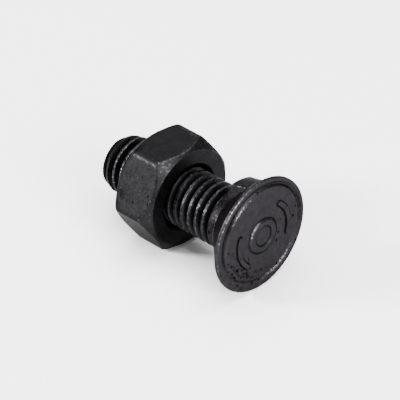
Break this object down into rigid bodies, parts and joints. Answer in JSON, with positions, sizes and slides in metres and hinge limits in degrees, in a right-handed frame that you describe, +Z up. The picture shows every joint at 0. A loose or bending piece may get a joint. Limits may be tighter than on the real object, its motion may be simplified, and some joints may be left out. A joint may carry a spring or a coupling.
{
  "type": "plow bolt",
  "caption": "Countersunk bolt with a nib under its round head, right-hand thread and a hexagon nut, in blackened steel.",
  "frame": {"origin": "middle of the bounding box, on the floor that the bolt lies on", "axes": "+X towards the head along the bolt as it lies, +Z up; the bolt's own axis rises 2.80 degrees towards the head"},
  "size_m": [0.031, 0.0194, 0.0194],
  "materials": {
    "bolt_steel": "forged, blackened and oiled, worn bright on the crests",
    "nut_steel": "forged and blackened, worn at the corners"
  },
  "bodies": {
    "bolt": {"plow_bolt": "bolt_steel"},
    "nut": {"hex_nut": "nut_steel"}
  },
  "joints": [
    {"name": "nut_travel", "type": "slide", "parent": "bolt", "child": "nut", "axis": [0.9988, 0, 0.0489], "range_m": [-0.0165, 0.009]}
  ]
}
